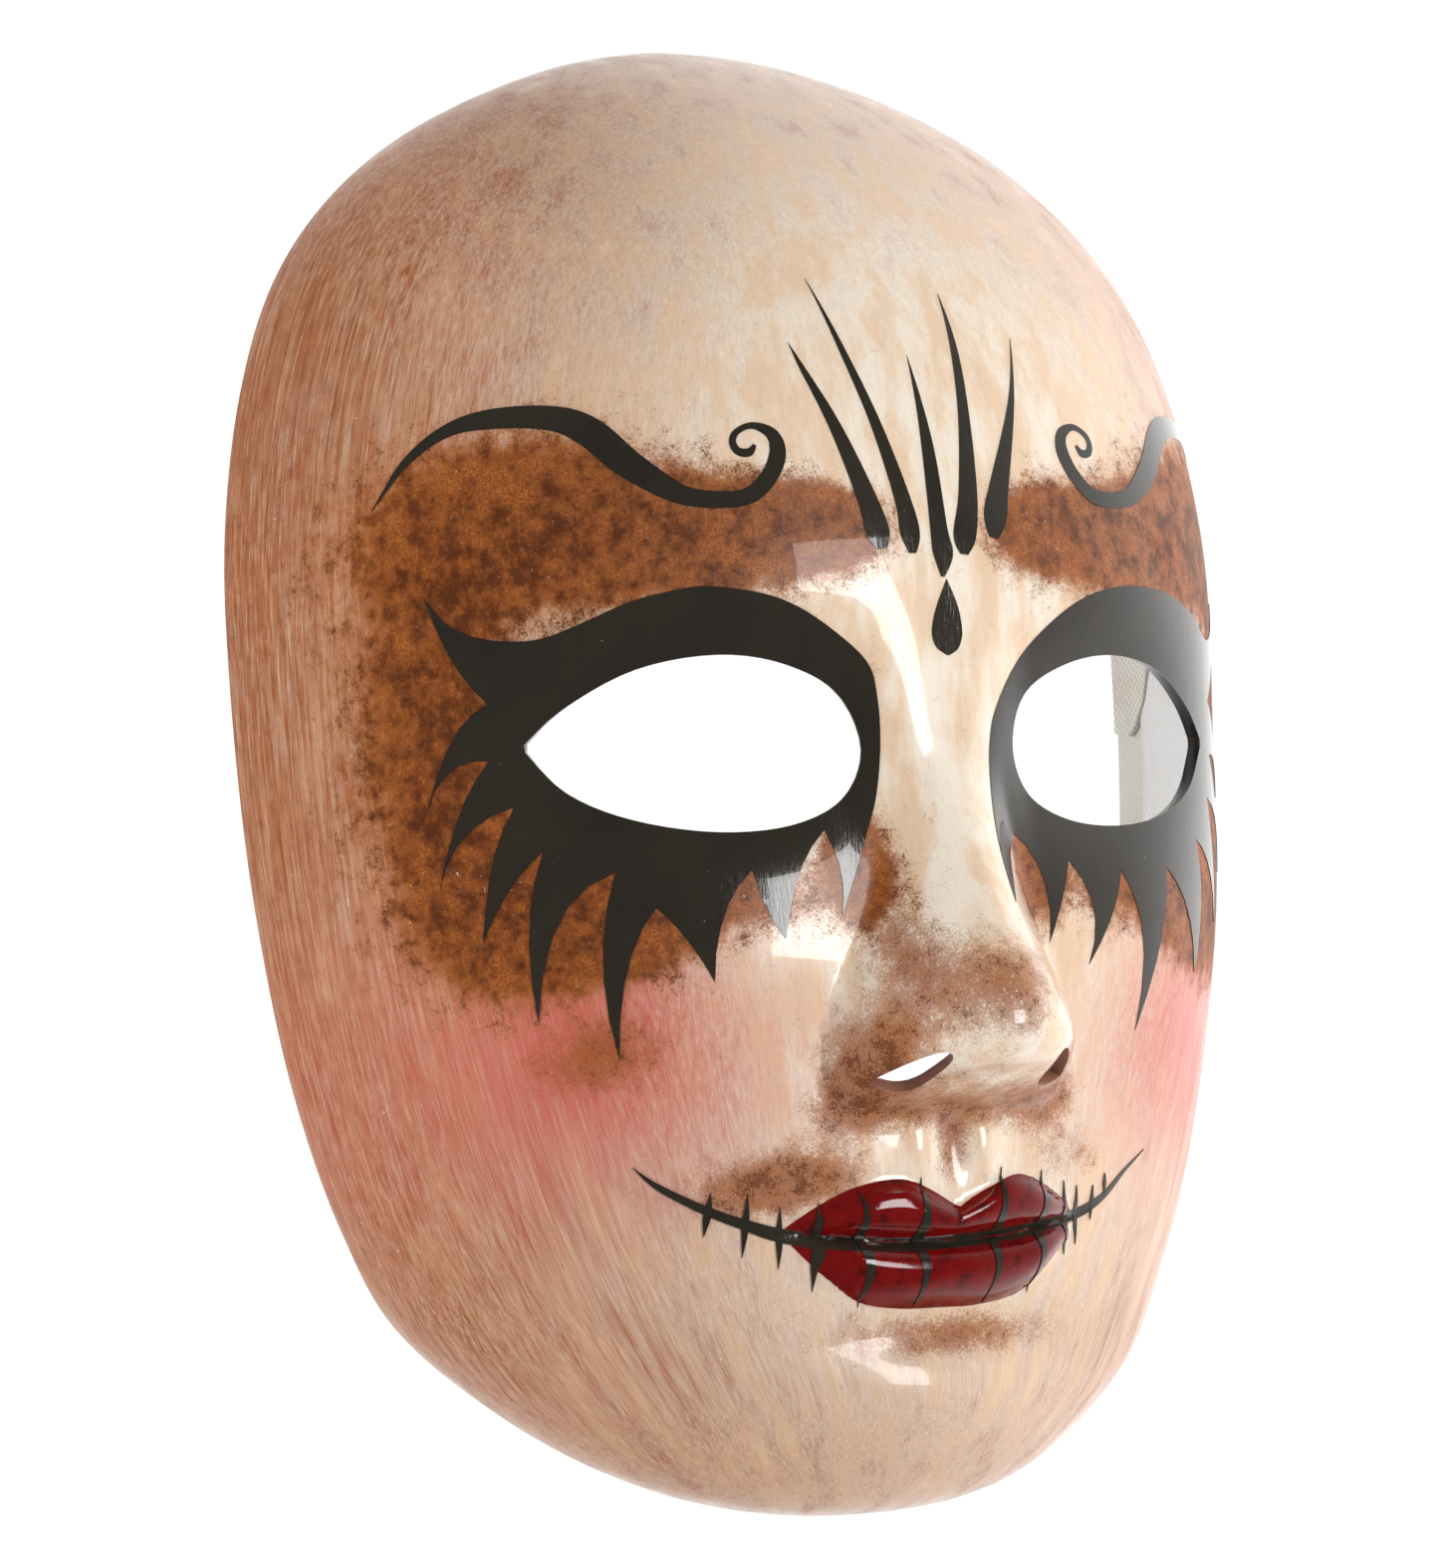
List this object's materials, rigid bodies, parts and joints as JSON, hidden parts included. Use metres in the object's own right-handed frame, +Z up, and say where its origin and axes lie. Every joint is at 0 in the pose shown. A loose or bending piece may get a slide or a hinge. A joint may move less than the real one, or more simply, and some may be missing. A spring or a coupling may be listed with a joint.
{
  "type": "masquerade mask",
  "caption": "Full-face moulded carnival mask with almond eye holes, nostril holes, a flat rim, a lining and a tape loop for a tie at each temple.",
  "frame": {"origin": "middle of the flat rim that rests around the head, halfway between chin and crown of the rim's plane", "axes": "the mask looks along -Y, +Y points to the wearer, +Z is up and +X is the wearer's left"},
  "size_m": [0.1612, 0.0887, 0.2297],
  "materials": {
    "painted_shell": "aged cream paint under satin varnish over moulded paper",
    "lining": "matte primed gauze",
    "patch_cloth": "matte ribbed cloth",
    "woven_tape": "matte natural cotton tape"
  },
  "bodies": {
    "root": {"face_shell": "painted_shell", "inner_lining": "lining", "temple_patch_left": "patch_cloth", "temple_patch_right": "patch_cloth", "tie_loop_left": "woven_tape", "tie_loop_right": "woven_tape"}
  },
  "joints": []
}
